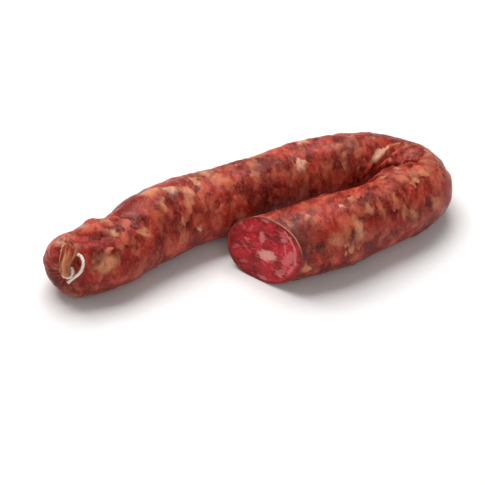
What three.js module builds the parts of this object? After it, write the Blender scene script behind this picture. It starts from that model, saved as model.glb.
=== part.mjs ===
// A cured sausage bent back on itself: the gut casing, the meat filling and the string at its tied end.
// Millimetres, +Z up. The sausage lies on z = 0, with its length along X.
import * as THREE from 'three';

const { clamp, degToRad, lerp } = THREE.MathUtils;

// The sausage as a whole
const casingRadius = 18.4;      // half the calibre of the dried sausage
const legGap = 9;               // clear space between the two legs
const creaseGap = 0.6;          // space left inside the fold of the bend
const casingWall = 0.5;
const fillingClearance = 0.3;   // between the casing and the meat

// The centreline, as stretches that each turn smoothly: lengths, and turns to the left in degrees
const startHeading = 17.8;
const frontLegLength = 71;
const bendTurn = 156.7;
const bendSpread = 0.631;       // distance between the legs' centrelines, per length of the bend
const bendLength = (2 * casingRadius + legGap) / bendSpread;
const backLegLength = 56;
const waistLength = 31;
const shoulderLength = 43;
const endLength = 34;
const stretches = [
  { length: frontLegLength, turn: 13.7 },
  { length: bendLength, turn: bendTurn },
  { length: backLegLength, turn: 20.6 },
  { length: waistLength, turn: -4.3 },
  { length: shoulderLength, turn: 18.6 },
  { length: endLength, turn: -27 },
];

// Half width and half height along the length, as shares of the casing radius.
// A place of 1.5 is halfway along the second stretch.
const tightestRadius = bendLength / (2 * degToRad(bendTurn));
const bendWidth = (tightestRadius - creaseGap) / casingRadius;
const girths = [
  { place: 0.0, width: 0.95, height: 0.99 },
  { place: 0.45, width: 1.03, height: 1.07 },
  { place: 0.97, width: 0.88, height: 1.02 },
  { place: 1.33, width: 0.76, height: 0.92 },
  { place: 1.5, width: bendWidth, height: 0.88 },
  { place: 1.66, width: bendWidth, height: 0.87 },
  { place: 2.0, width: 0.87, height: 1.02 },
  { place: 3.0, width: 0.88, height: 1.0 },
  { place: 4.0, width: 0.97, height: 0.99 },
  { place: 4.63, width: 1.06, height: 1.03 },
  { place: 5.08, width: 0.94, height: 0.97 },
  { place: 5.6, width: 0.95, height: 0.93 },
  { place: 6.0, width: 0.93, height: 0.85 },
];

// The slanting cut: how far it runs along the sausage, per mm sideways and per mm up
const cutSlopeSide = 0.75;
const cutSlopeUp = 0.29;
const cutReach = 32;            // past this length the rings are square to the sausage

// The tied end: a dome whose gathered middle is drawn off to one side and up
const domeLength = 16;
const gatherHeading = 256;      // the way the gathered middle faces, in degrees round Z
const gatherRise = 25;          // and in degrees above the table
const dimpleDepth = 5;
const dimpleSpread = 9.5;       // from the gathered middle to where about a third of the depth is left

// The string: wound round the neck of the gut, with two loose ends
const stringRadius = 0.7;
const stringClearance = 0.3;
const stringTurns = 1.5;
const turnPitch = 2 * stringRadius + 0.15;

// The gut past the string: a short neck, and a tail folded up over the end
const neckRadius = 2.2;
const neckFoot = 0.6 + stringRadius + stringClearance;     // height of the lowest turn of string
const neckLength = neckFoot + stringTurns * turnPitch + stringRadius + stringClearance;
const foldRadius = 2.9;
const tailLength = 13;
const tailHalfWidth = 3.4;
const tailHalfThickness = 1.3;

// Facets: three corners of each ring lie on the table, and make the flat strip that it rests on
const ringSides = 24;
const ringStep = 6;
const fineRingStep = 3.6;         // round the bend and near the tied end
const domeSteps = 14;
const stringSides = 8;
const stringSteps = 72;
const restHeight = Math.cos(2 * Math.PI / ringSides);

const up = new THREE.Vector3(0, 0, 1);
const smooth = (low, high, value) => THREE.MathUtils.smoothstep(value, low, high);

function directionOf(headingDegrees, riseDegrees = 0) {
  const polar = degToRad(90 - riseDegrees);
  return new THREE.Vector3(Math.sin(polar), 0, Math.cos(polar)).applyAxisAngle(up, degToRad(headingDegrees));
}

// The centreline stepped off once: within a stretch the turn grows as t - sin(2 pi t) / (2 pi)
const lineStep = 0.25;
const line = [{ x: 0, y: 0, heading: startHeading, place: 0, distance: 0 }];
stretches.forEach(({ length, turn }, index) => {
  const steps = Math.round(length / lineStep);
  const first = line.at(-1);
  const headingAt = (t) => first.heading + turn * (t - Math.sin(2 * Math.PI * t) / (2 * Math.PI));
  for (let i = 1; i <= steps; i += 1) {
    const before = line.at(-1);
    const middle = degToRad(headingAt((i - 0.5) / steps));
    line.push({
      x: before.x + (length / steps) * Math.cos(middle),
      y: before.y + (length / steps) * Math.sin(middle),
      heading: headingAt(i / steps),
      place: index + i / steps,
      distance: first.distance + (length * i) / steps,
    });
  }
});

function girthAt(place) {
  const next = Math.max(1, girths.findIndex((girth) => girth.place >= place - 1e-9));
  const [low, high] = [girths[next - 1], girths[next]];
  const share = smooth(low.place, high.place, place);
  return {
    width: casingRadius * lerp(low.width, high.width, share),
    height: casingRadius * lerp(low.height, high.height, share),
  };
}

// The sausage at a place along it: its centre, the way it runs, and the sideways direction on its right
function sectionAt(place) {
  const next = Math.max(1, line.findIndex((point) => point.place >= place - 1e-9));
  const [before, after] = [line[next - 1], line[next]];
  const share = (place - before.place) / (after.place - before.place);
  const between = (name) => lerp(before[name], after[name], share);
  const girth = girthAt(place);
  const along = directionOf(between('heading'));
  return {
    ...girth,
    distance: between('distance'),
    centre: new THREE.Vector3(between('x'), between('y'), girth.height * restHeight),
    along,
    side: along.clone().cross(up),
  };
}

// The tied end: its dome is drawn in round the point where the gut is gathered
const end = sectionAt(stretches.length);
const gather = directionOf(gatherHeading, gatherRise);
const leanAxis = end.along.clone().cross(gather).normalize();
const leanAngle = end.along.angleTo(gather);
const gathered = end.centre.clone().addScaledVector(gather, domeLength);
const dimpleAt = (distance) => dimpleDepth * Math.exp(-((distance / dimpleSpread) ** 2));
function drawnIn(point, lowest) {
  point.addScaledVector(gather, -dimpleAt(point.distanceTo(gathered)));
  point.z = Math.max(point.z, lowest);
  return point;
}

// A ring gives a point for an angle. Inset is how far inside the casing's outer face the ring lies.
function tubeRing(place, inset, spread = 1) {
  const section = sectionAt(place);
  const slanting = 1 - smooth(0, cutReach, section.distance);
  return (angle) => {
    const sideways = spread * (section.width - inset) * Math.cos(angle);
    const round = spread * (section.height - inset) * Math.sin(angle);
    const upwards = Math.max(round, inset - section.centre.z);
    const point = section.centre.clone()
      .addScaledVector(section.side, sideways)
      .addScaledVector(up, upwards)
      .addScaledVector(section.along, slanting * (cutSlopeSide * sideways + cutSlopeUp * upwards));
    return drawnIn(point, inset);
  };
}

// A ring of the dome, as many degrees from its pole, which is drawn over to where the gut is gathered
function domeRing(degrees, inset) {
  const polar = degToRad(degrees);
  const lean = leanAngle * (1 - degrees / 90);
  return (angle) => {
    const point = new THREE.Vector3()
      .addScaledVector(end.along, (domeLength - inset) * Math.cos(polar))
      .addScaledVector(end.side, (end.width - inset) * Math.sin(polar) * Math.cos(angle))
      .addScaledVector(up, (end.height - inset) * Math.sin(polar) * Math.sin(angle))
      .applyAxisAngle(leanAxis, lean)
      .add(end.centre);
    return drawnIn(point, inset);
  };
}

// The tail is laid up over the end, and across is its width
const tailWay = up.clone().addScaledVector(gather, -up.dot(gather)).normalize();
const across = gather.clone().cross(tailWay);
const neckBase = domeRing(0, 0)(0);
const ringTurn = Math.atan2(
  across.dot(up.clone().applyAxisAngle(leanAxis, leanAngle)),
  across.dot(end.side.clone().applyAxisAngle(leanAxis, leanAngle)),
);

function tailRing(centre, inward, halfWidth, halfThickness) {
  return (angle) => centre.clone()
    .addScaledVector(across, halfWidth * Math.cos(angle - ringTurn))
    .addScaledVector(inward, halfThickness * Math.sin(angle - ringTurn));
}

// From the dome outwards: up the neck, round the fold, then along the tail to its tip
function tailRings() {
  const rings = [];
  for (const height of [0.6, neckLength / 2, neckLength]) {
    const centre = neckBase.clone().addScaledVector(gather, height);
    rings.push(tailRing(centre, tailWay, neckRadius, neckRadius));
  }
  const foldCentre = neckBase.clone()
    .addScaledVector(gather, neckLength)
    .addScaledVector(tailWay, foldRadius);
  for (const degrees of [30, 60, 90]) {
    const inward = tailWay.clone().applyAxisAngle(across, degToRad(degrees));
    const centre = foldCentre.clone().addScaledVector(inward, -foldRadius);
    const flattened = degrees / 90;
    rings.push(tailRing(
      centre,
      inward,
      lerp(neckRadius, tailHalfWidth, 0.5 * flattened),
      lerp(neckRadius, tailHalfThickness, flattened),
    ));
  }
  const start = foldCentre.clone().addScaledVector(gather, foldRadius).sub(end.centre);
  const reach = start.length();
  for (const share of [0.25, 0.5, 0.75, 0.93]) {
    const turned = start.clone().applyAxisAngle(across, (share * tailLength) / reach);
    const inward = turned.clone().normalize().negate();
    const halfWidth = lerp(neckRadius, tailHalfWidth, 0.5 + 0.5 * share);
    rings.push(tailRing(turned.add(end.centre), inward, halfWidth, tailHalfThickness));
  }
  const tip = start.clone().applyAxisAngle(across, tailLength / reach).add(end.centre);
  rings.push(() => tip.clone());
  return rings;
}

// Places of the tube's rings from the cut to the tied end
const tubePlaces = [0];
stretches.forEach(({ length }, index) => {
  const fine = index === 1 || index === stretches.length - 1;
  const count = Math.round(length / (fine ? fineRingStep : ringStep));
  for (let i = 1; i <= count; i += 1) tubePlaces.push(index + i / count);
});
const backwards = [...tubePlaces].reverse();

function domeDegrees(innermost) {
  return Array.from({ length: domeSteps }, (_, i) => lerp(innermost, 90, i / domeSteps));
}

// A closed skin through the rings: a lathe of unit radius with one level for each ring, and a point
// on its axis at each end, whose corners are then moved to where the rings put them
function skin(rings) {
  const levels = rings.map((ring, level) => {
    const onAxis = level === 0 || level === rings.length - 1;
    return new THREE.Vector2(onAxis ? 0 : 1, level);
  });
  const geometry = new THREE.LatheGeometry(levels, ringSides);
  const corners = geometry.attributes.position;
  for (let i = 0; i < corners.count; i += 1) {
    const angle = Math.atan2(corners.getX(i), corners.getZ(i));
    const point = rings[Math.round(corners.getY(i))](angle);
    corners.setXYZ(i, point.x, point.y, point.z);
  }
  geometry.computeVertexNormals();
  return geometry;
}

function casingGeometry() {
  const neckDegrees = THREE.MathUtils.radToDeg(Math.asin(neckRadius / end.width));
  return skin([
    ...tailRings().reverse(),
    ...domeDegrees(neckDegrees).map((degrees) => domeRing(degrees, 0)),
    ...backwards.map((place) => tubeRing(place, 0)),
    ...tubePlaces.map((place) => tubeRing(place, casingWall)),
    ...domeDegrees(0).reverse().map((degrees) => domeRing(degrees, casingWall)),
  ]);
}

function fillingGeometry() {
  const inset = casingWall + fillingClearance;
  return skin([
    ...domeDegrees(0).map((degrees) => domeRing(degrees, inset)),
    ...backwards.map((place) => tubeRing(place, inset)),
    tubeRing(0, inset, 0),
  ]);
}

// A point of a loose end of the string: so many mm across and up from the gathered middle, on the dome
// or lifted clear of it
function overEnd(acrossBy, upBy, lift = 0) {
  const domeReach = Math.max(domeLength, end.width) - dimpleAt(Math.hypot(acrossBy, upBy));
  const reach = domeReach + stringRadius + stringClearance + lift;
  return gather.clone()
    .applyAxisAngle(across, upBy / reach)
    .multiplyScalar(Math.sqrt(reach ** 2 - acrossBy ** 2))
    .addScaledVector(across, acrossBy)
    .add(end.centre);
}

function stringGeometry() {
  const besideTail = tailHalfWidth + stringRadius + stringClearance;
  const underTail = tailHalfWidth - 1.2;
  const windingRadius = neckRadius + stringRadius + stringClearance;
  const points = [overEnd(besideTail, 12), overEnd(besideTail + 0.3, 8.5), overEnd(besideTail, 5)];
  for (let turned = 0; turned <= stringTurns; turned += 1 / 8) {
    const height = neckFoot + (stringTurns - turned) * turnPitch;
    const way = across.clone().applyAxisAngle(gather, 2 * Math.PI * turned);
    points.push(neckBase.clone().addScaledVector(gather, height).addScaledVector(way, windingRadius));
  }
  points.push(overEnd(-underTail, 4, 0.2), overEnd(-underTail, 7.5, 0.3), overEnd(-underTail - 1.8, 10.4, 0.5));
  points.push(overEnd(-besideTail - 2.4, 10.2, 1.4));
  points.push(overEnd(-besideTail - 3.6, 7.6, 2.2), overEnd(-besideTail - 3.4, 4.4, 2.4));
  points.push(overEnd(-besideTail - 1.9, 1.2, 2), overEnd(-3.2, -2.3, 0.8), overEnd(-0.5, -5.4));
  const path = new THREE.CatmullRomCurve3(points);
  const round = new THREE.Shape().absarc(0, 0, stringRadius, 0, 2 * Math.PI);
  return new THREE.ExtrudeGeometry(round, {
    steps: stringSteps,
    curveSegments: stringSides / 2,
    extrudePath: path,
  });
}

function piece(name, geometry, color, roughness) {
  const mesh = new THREE.Mesh(geometry, new THREE.MeshStandardMaterial({ color, roughness, metalness: 0 }));
  mesh.name = name;
  return mesh;
}

const sausage = new THREE.Group();
sausage.add(
  piece('casing', casingGeometry(), 0x7d3526, 0.45),
  piece('filling', fillingGeometry(), 0xa3262f, 0.5),
  piece('tie_string', stringGeometry(), 0xe6d2b4, 0.85),
);

// The middle of the box's underside is the origin
const box = new THREE.Box3().setFromObject(sausage);
const middle = box.getCenter(new THREE.Vector3());
sausage.position.set(-middle.x, -middle.y, -box.min.z);

export default sausage;
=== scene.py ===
import math

import bpy
import numpy as np
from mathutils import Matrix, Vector


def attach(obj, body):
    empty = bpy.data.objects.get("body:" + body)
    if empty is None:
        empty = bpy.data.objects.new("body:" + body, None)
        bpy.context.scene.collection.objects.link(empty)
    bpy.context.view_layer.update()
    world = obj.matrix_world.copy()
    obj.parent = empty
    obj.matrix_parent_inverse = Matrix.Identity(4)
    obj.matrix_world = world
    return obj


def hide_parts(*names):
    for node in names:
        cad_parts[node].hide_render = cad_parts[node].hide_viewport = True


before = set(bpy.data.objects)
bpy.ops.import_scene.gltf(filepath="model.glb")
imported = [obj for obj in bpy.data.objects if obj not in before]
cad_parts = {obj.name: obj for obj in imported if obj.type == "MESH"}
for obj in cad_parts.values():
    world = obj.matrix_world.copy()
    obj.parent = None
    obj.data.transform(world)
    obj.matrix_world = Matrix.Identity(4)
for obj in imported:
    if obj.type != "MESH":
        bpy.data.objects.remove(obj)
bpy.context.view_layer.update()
mm = 0.001

# lengths in mm, turns in degrees to the left; the same sizes as the solid model has
body = {
    "place": (6.124, -28.377, 0.0),   # of the line's start, with the middle of the whole at 0, 0
    "casingRadius": 18.4,
    "legGap": 9.0,
    "creaseGap": 0.6,
    "wall": 0.5,
    "clearance": 0.3,
    "startHeading": 17.8,
    "bendTurn": 156.7,
    "bendSpread": 0.631,
    "frontLeg": (71.0, 13.7),
    "backLeg": [(56.0, 20.6), (31.0, -4.3), (43.0, 18.6), (34.0, -27.0)],
    "cutSlopeSide": 0.75,
    "cutSlopeUp": 0.29,
    "cutReach": 32.0,
    "domeLength": 16.0,
    "gatherHeading": 256.0,
    "gatherRise": 25.0,
    "dimpleDepth": 5.0,
    "dimpleSpread": 9.5,
    "restAngle": 15.0,      # the flattened underside reaches this many degrees each way
}
boxShift = np.array(body["place"])
bendLength = (2 * body["casingRadius"] + body["legGap"]) / body["bendSpread"]
tightestRadius = bendLength / (2 * math.radians(body["bendTurn"]))
bendWidth = (tightestRadius - body["creaseGap"]) / body["casingRadius"]
# place along the stretches, half width and half height as shares of the casing radius
girths = np.array([
    (0.0, 0.95, 0.99), (0.45, 1.03, 1.07), (0.97, 0.88, 1.02), (1.33, 0.76, 0.92),
    (1.5, bendWidth, 0.88), (1.66, bendWidth, 0.87), (2.0, 0.87, 1.02), (3.0, 0.88, 1.0),
    (4.0, 0.97, 0.99), (4.63, 1.06, 1.03), (5.08, 0.94, 0.97), (5.6, 0.95, 0.93),
    (6.0, 0.93, 0.85),
])
upWay = np.array([0.0, 0.0, 1.0])


def smooth(low, high, value):
    # 3t^2 - 2t^3, with t running from 0 at low to 1 at high
    t = np.clip((value - low) / (high - low), 0.0, 1.0)
    return t * t * (3 - 2 * t)


def unit(vectors):
    return vectors / np.linalg.norm(vectors, axis=-1, keepdims=True)


def turnFrom(angle, middle, low=-180):
    # degrees round from middle, at least low and less than low + 360
    return np.mod(angle - middle - low, 360) + low


def wayOf(heading, rise=0.0):
    h, r = math.radians(heading), math.radians(rise)
    return np.array([math.cos(r) * math.cos(h), math.cos(r) * math.sin(h), math.sin(r)])


def layOutLine(step=0.25):
    # in a stretch the heading grows as turn * (t - sin(2 pi t) / (2 pi)); the line is its
    # running sum
    stretches = [body["frontLeg"], (bendLength, body["bendTurn"])] + body["backLeg"]
    places, distances, xs, ys = [[0.0]], [[0.0]], [[0.0]], [[0.0]]
    headings = [[body["startHeading"]]]
    for index, (length, turn) in enumerate(stretches):
        count = round(length / step)
        ends = np.arange(1, count + 1) / count
        middles = ends - 0.5 / count
        start = headings[-1][-1]
        turned = [start + turn * (t - np.sin(2 * np.pi * t) / (2 * np.pi)) for t in (middles, ends)]
        places.append(index + ends)
        distances.append(distances[-1][-1] + ends * length)
        headings.append(turned[1])
        xs.append(xs[-1][-1] + np.cumsum(np.cos(np.radians(turned[0]))) * length / count)
        ys.append(ys[-1][-1] + np.cumsum(np.sin(np.radians(turned[0]))) * length / count)
    names = ("place", "distance", "heading", "x", "y")
    return {n: np.concatenate(v) for n, v in zip(names, (places, distances, headings, xs, ys))}


line = layOutLine()
lineLength = line["distance"][-1]


def sectionAt(distance):
    # centre, direction, right-hand side and half sizes of the cross-sections at these distances
    d = np.clip(np.atleast_1d(distance), 0, lineLength)
    at = {n: np.interp(d, line["distance"], line[n]) for n in line}
    i = np.clip(np.searchsorted(girths[:, 0], at["place"]) - 1, 0, len(girths) - 2)
    share = smooth(girths[i, 0], girths[i + 1, 0], at["place"])[:, None]
    sizes = body["casingRadius"] * (girths[i, 1:] + (girths[i + 1, 1:] - girths[i, 1:]) * share)
    h = np.radians(at["heading"])
    zero = np.zeros_like(h)
    high = sizes[:, 1] * math.cos(math.radians(body["restAngle"]))
    return {
        "distance": d,
        "width": sizes[:, 0],
        "height": sizes[:, 1],
        "centre": np.stack([at["x"], at["y"], high], -1),
        "along": np.stack([np.cos(h), np.sin(h), zero], -1),
        "side": np.stack([np.sin(h), -np.cos(h), zero], -1),
    }


end = {n: v[0] for n, v in sectionAt(lineLength).items()}
gather = wayOf(body["gatherHeading"], body["gatherRise"])
gathered = end["centre"] + gather * body["domeLength"]
leanAxis = unit(np.cross(end["along"], gather))
leanAngle = math.acos(float(end["along"] @ gather))
tailWay = unit(upWay - gather * gather[2])
across = np.cross(gather, tailWay)


def turnAbout(vectors, axis, angle):
    # Rodrigues' rotation: v cos + (k x v) sin + k (k . v)(1 - cos)
    c, s = np.cos(angle)[..., None], np.sin(angle)[..., None]
    return vectors * c + np.cross(axis, vectors) * s + axis * (vectors @ axis)[..., None] * (1 - c)


def restOn(z, lowest, softness=0.25):
    # smooth maximum of z and lowest
    above = z - lowest
    return lowest + 0.5 * (above + np.sqrt(above * above + softness * softness))


def drawnIn(points, lowest):
    # the surface is pulled in round the gathered point, by a bell curve of the distance from it
    away = np.linalg.norm(points - gathered, axis=-1, keepdims=True)
    out = points - gather * body["dimpleDepth"] * np.exp(-(away / body["dimpleSpread"]) ** 2)
    out[..., 2] = restOn(out[..., 2], lowest)
    return out


def tubeRings(distance, angles, inset):
    # an ellipse square to the line, flattened underneath, sheared near the cut to lie in its plane
    s = sectionAt(distance)
    sideways = (s["width"] - inset)[:, None] * np.cos(angles)
    upwards = (s["height"] - inset)[:, None] * np.sin(angles)
    upwards = restOn(upwards, (inset - s["centre"][:, 2])[:, None])
    slant = 1 - smooth(0, body["cutReach"], s["distance"])[:, None]
    slant = slant * (body["cutSlopeSide"] * sideways + body["cutSlopeUp"] * upwards)
    points = s["centre"][:, None] + sideways[..., None] * s["side"][:, None]
    points = points + upwards[..., None] * upWay + slant[..., None] * s["along"][:, None]
    return drawnIn(points, inset)


def domeRings(polar, angles, inset):
    # rings of an ellipsoid, turned about the end's centre towards the gathered point, fully at
    # its pole
    p = np.radians(polar)[:, None]
    a = (body["domeLength"] - inset) * np.cos(p) * np.ones_like(angles)
    b = (end["width"] - inset) * np.sin(p) * np.cos(angles)
    c = (end["height"] - inset) * np.sin(p) * np.sin(angles)
    points = a[..., None] * end["along"] + b[..., None] * end["side"] + c[..., None] * upWay
    lean = leanAngle * (1 - np.asarray(polar) / 90.0)[:, None] * np.ones_like(angles)
    return drawnIn(turnAbout(points, leanAxis, lean) + end["centre"], inset)


def slantShift(distance, angle):
    # how far a point near the cut is moved along the sausage to lie in the cut's plane
    lean = body["cutSlopeSide"] * np.cos(angle) + body["cutSlopeUp"] * np.sin(angle)
    return (1 - smooth(0, body["cutReach"], distance)) * body["casingRadius"] * lean


def unrolled(distance, polar, angles):
    # the surface straightened out: x along it, y and z round it, in mm, so patterns have no seam
    r = body["casingRadius"]
    tube = np.stack([distance[:, None] + slantShift(distance[:, None], angles),
                     np.broadcast_to(r * np.cos(angles), (len(distance), len(angles))),
                     np.broadcast_to(r * np.sin(angles), (len(distance), len(angles)))], -1)
    p = np.radians(polar)[:, None]
    dome = np.stack([lineLength + r * np.cos(p) * np.ones_like(angles),
                     r * np.sin(p) * np.cos(angles), r * np.sin(p) * np.sin(angles)], -1)
    return np.concatenate([tube, dome])


def waves(points, lengths, seed, count):
    # smooth noise: a sum of plane waves, cos(2 pi way . point / length + phase), with random
    # directions and phases and a length for each axis
    draw = np.random.default_rng(seed)
    ways = unit(draw.normal(size=(count, 3))) * draw.uniform(0.75, 1.35, (count, 1))
    phases = draw.uniform(0, 2 * np.pi, count)
    scaled = points / np.asarray(lengths, float)
    total = np.zeros(points.shape[:-1])
    for way, phase in zip(ways, phases):
        total += np.cos(2 * np.pi * (scaled @ way) + phase)
    return total / math.sqrt(count / 2)


def gridNormals(points):
    # cross product of the two grid directions; columns wrap round
    downRows = np.gradient(points, axis=0)
    roundRing = np.roll(points, -1, axis=1) - np.roll(points, 1, axis=1)
    return unit(np.cross(downRows, roundRing) + 1e-12)


def skinMesh(name, rings, attributes, startPole, endPole, cells):
    # quads between neighbouring rings and a fan at each pole; rings is rows x columns x 3 in mm
    rows, cols = rings.shape[:2]
    verts = np.concatenate([rings.reshape(-1, 3), [startPole, endPole]])
    verts = (verts + boxShift) * mm
    r = np.arange(rows - 1)[:, None] * cols
    c = np.arange(cols)
    nextC = (c + 1) % cols
    quads = np.stack([r + c, r + nextC, r + cols + nextC, r + cols + c], -1).reshape(-1, 4)
    first = np.stack([np.full(cols, rows * cols), nextC, c], -1)
    under = (rows - 1) * cols
    last = np.stack([np.full(cols, rows * cols + 1), under + c, under + nextC], -1)
    mesh = bpy.data.meshes.new(name)
    mesh.from_pydata(verts.tolist(), [], quads.tolist() + first.tolist() + last.tolist())
    for attribute, (values, atStart, atEnd) in attributes.items():
        values = np.asarray(values, np.float32)
        vector = values.ndim == 3
        kind = "FLOAT_VECTOR" if vector else "FLOAT"
        layer = mesh.attributes.new(attribute, kind, "POINT")
        flat = np.concatenate([values.reshape(-1, 3) if vector else values.reshape(-1),
                               np.array([atStart, atEnd], np.float32)])
        layer.data.foreach_set("vector" if vector else "value", flat.reshape(-1))
    bakeMap(mesh, rows, cols, cells)
    if signedVolume(verts, quads) < 0:
        mesh.flip_normals()
    mesh.polygons.foreach_set("use_smooth", np.ones(len(mesh.polygons), bool))
    mesh.update()
    piece = bpy.data.objects.new(name, mesh)
    bpy.context.scene.collection.objects.link(piece)
    return piece


def signedVolume(verts, quads):
    # a sixth of the triple products of two triangles a quad; negative when the faces look inwards
    a, b, c, d = (verts[quads[:, k]] for k in range(4))
    return (np.einsum("ij,ij->", a, np.cross(b, c)) + np.einsum("ij,ij->", a, np.cross(c, d))) / 6


def bakeMap(mesh, rows, cols, cells):
    # each run of rings is laid flat in its own cell of the unit square:
    # (first row, last row, x, y, width, height)
    uv = np.zeros((len(mesh.loops), 2), np.float32)
    quadRow, quadCol = np.divmod(np.arange((rows - 1) * cols), cols)
    rowOf = np.stack([quadRow, quadRow, quadRow + 1, quadRow + 1], -1).astype(float)
    colOf = np.stack([quadCol, quadCol + 1, quadCol + 1, quadCol], -1) / cols
    square = np.zeros(rowOf.shape + (2,))
    for firstRow, lastRow, x, y, width, height in cells:
        inside = (quadRow >= firstRow) & (quadRow < lastRow)
        share = (rowOf[inside] - firstRow) / (lastRow - firstRow)
        square[inside] = np.stack([x + width * colOf[inside], y + height * share], -1)
    uv[:square.size // 2] = square.reshape(-1, 2)
    for pole, (cell, row) in enumerate(((cells[0], 0.0), (cells[-1], 1.0))):
        c = np.arange(cols) / cols
        x, y, width, height = cell[2:]
        here = y + height * row
        corners = np.stack([np.stack([x + width * (c + k), np.full(cols, here)], -1)
                            for k in (0.5 / cols, 1 / cols, 0.0)], 1)
        start = square.size // 2 + pole * cols * 3
        uv[start:start + cols * 3] = corners.reshape(-1, 2)
    mesh.uv_layers.new(name="OFBake").data.foreach_set("uv", uv.reshape(-1))


def fatFields(points, pieces, flat=False):
    # each piece is one minus its elliptical distance, sqrt(u^2 / a^2 + v^2 / b^2); where pieces
    # meet they blend, weighed by exp(sharpness * value)
    # pieces: distance, angle, half length along, half width round, tilt, tone, strength
    sharpness = 8.0
    total = np.full(points.shape[:-1], math.exp(-sharpness))
    tone = 0.5 * total
    strength = 0.0 * total
    r = body["casingRadius"]
    for distance, angle, halfAlong, halfRound, tilt, itsTone, itsStrength in pieces:
        if flat:
            offset = points[..., 1:] - np.array([distance, angle])
            u, v, deep = offset[..., 0], offset[..., 1], 0.0
        else:
            a = math.radians(angle)
            x = distance + slantShift(distance, a)
            centre = np.array([x, r * math.cos(a), r * math.sin(a)])
            offset = points - centre
            u = offset[..., 0]
            v = offset[..., 1] * -math.sin(a) + offset[..., 2] * math.cos(a)
            deep = (offset[..., 1] * math.cos(a) + offset[..., 2] * math.sin(a)) / 4.0
        c, s = math.cos(math.radians(tilt)), math.sin(math.radians(tilt))
        far = ((u * c + v * s) / halfAlong) ** 2 + ((v * c - u * s) / halfRound) ** 2 + deep ** 2
        weight = np.exp(sharpness * (1 - np.sqrt(far)))
        total += weight
        tone += weight * itsTone
        strength += weight * itsStrength
    return np.log(total) / sharpness, tone / total, strength / total


casingFat = {
    # placed one by one: distance along, angle round, half length, half width, tilt, tone, strength
    "placed": [
        (40, 91, 3.0, 5.2, -8, 0.8, 1.0), (52, 64, 2.2, 3.6, 0, 0.45, 0.7),
        (43, 38, 2.8, 6.6, -4, 0.7, 0.95), (65, 13, 3.0, 6.0, 8, 0.6, 0.95),
        (37, 7, 2.8, 4.6, 0, 0.5, 0.8), (5, -4, 3.4, 4.4, 10, 0.65, 0.95),
        (19, 88, 2.0, 3.6, 0, 0.7, 0.75), (58, 45, 2.2, 3.6, 0, 0.3, 0.6),
        (135.2, 124, 7.6, 2.3, 46, 1.0, 1.0), (84, 76, 2.6, 6.6, -20, 0.4, 0.95),
        (67, 61, 2.4, 4.8, 10, 0.25, 0.8), (75, 20, 2.4, 3.4, 0, 0.45, 0.7),
        (102, 97, 3.4, 3.6, 30, 0.3, 0.8), (124, 92, 6.0, 3.0, 50, 0.35, 0.8),
        (134, 81, 5.0, 3.0, 30, 0.5, 0.7), (97, 56, 2.6, 4.4, 0, 0.3, 0.6),
        (88, 27, 2.4, 4.6, 0, 0.4, 0.6), (181, 120, 2.8, 5.6, 0, 0.9, 0.75),
        (175, 72, 2.2, 3.6, 0, 0.95, 0.6), (167, 153, 3.2, 6.4, 0, 0.15, 1.0),
        (199, 61, 4.0, 4.4, 0, 0.5, 0.7), (189, 60, 3.0, 4.0, 0, 0.3, 0.6),
        (207, 111, 2.2, 3.0, 0, 0.6, 0.6), (221, 106, 3.4, 4.0, 10, 0.2, 0.9),
        (229, 72, 3.4, 4.8, 0, 0.7, 0.8), (236, 83, 4.0, 5.0, 0, 0.6, 0.8),
        (242, 103, 3.0, 4.6, 0, 0.7, 0.75), (246, 122, 3.6, 4.6, 0, 0.6, 0.7),
        (250, 88, 4.6, 4.0, 0, 0.8, 0.85), (259, 76, 6.5, 4.2, 10, 0.6, 0.8),
        (297, 149, 5.2, 5.4, 0, 0.6, 1.0), (290, 106, 2.8, 2.6, 0, 0.75, 1.0),
        (278.3, 126, 4.4, 1.6, 144, 0.55, 1.0), (261, 110, 4.5, 1.8, 60, 0.6, 0.7),
        (318, 72, 4.4, 4.6, 0, 0.85, 0.95), (325, -103, 3.6, 3.4, 0, 0.6, 0.9),
        (293.5, 124, 5.0, 1.2, 60, 0.3, 0.9), (266, 118, 3.0, 5.0, 10, 0.1, 0.6),
        # the last two pieces are painted glints: tiny bright spots standing in for specular
        # highlights
        (236, 93, 1.0, 1.2, 0, 1.0, 1.0), (243.5, 166, 1.2, 1.6, 0, 1.0, 1.0),
    ],
    # left without random pieces: distance, angle, reach in mm
    "clear": [(8, 60, 11), (10, 20, 9), (7, -40, 7), (281, 100, 8), (300, 112, 7), (280, 165, 10),
              (310, 150, 8)],
    "count": 300,
    "seed": 11,
    "halfAlong": (1.6, 4.2),
    "halfRound": (2.2, 6.5),
}


def scatterFat(settings, keepClear=5.0, degree=0.32):
    # pieces drawn evenly over the unrolled skin, leaving the placed ones room; a degree is 0.32 mm
    draw = np.random.default_rng(settings["seed"])
    placed = np.array(settings["placed"], float)
    pieces = list(settings["placed"])
    total = lineLength + 22
    while len(pieces) < settings["count"]:
        distance, angle = draw.uniform(-2, total), draw.uniform(-180, 180)
        near = np.hypot(placed[:, 0] - distance, turnFrom(placed[:, 1], angle) * degree)
        sizes = draw.beta(1.6, 3.0, 2)
        halfAlong = np.interp(sizes[0], (0, 1), settings["halfAlong"])
        halfRound = np.interp(sizes[1], (0, 1), settings["halfRound"])
        extra = (draw.normal(0, 14), draw.beta(1.3, 2.0), draw.uniform(0.15, 0.8))
        bare = min(math.hypot(distance - d, turnFrom(angle, a) * degree) - reach
                   for d, a, reach in settings["clear"])
        if near.min() > keepClear and bare > 0:
            pieces.append((distance, angle, halfAlong, halfRound) + extra)
    return pieces


def linear(hexColour):
    # sRGB hex to linear light
    values = [int(hexColour[i:i + 2], 16) / 255 for i in (1, 3, 5)]
    values = [v / 12.92 if v <= 0.04045 else ((v + 0.055) / 1.055) ** 2.4 for v in values]
    return tuple(values) + (1.0,)


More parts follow.
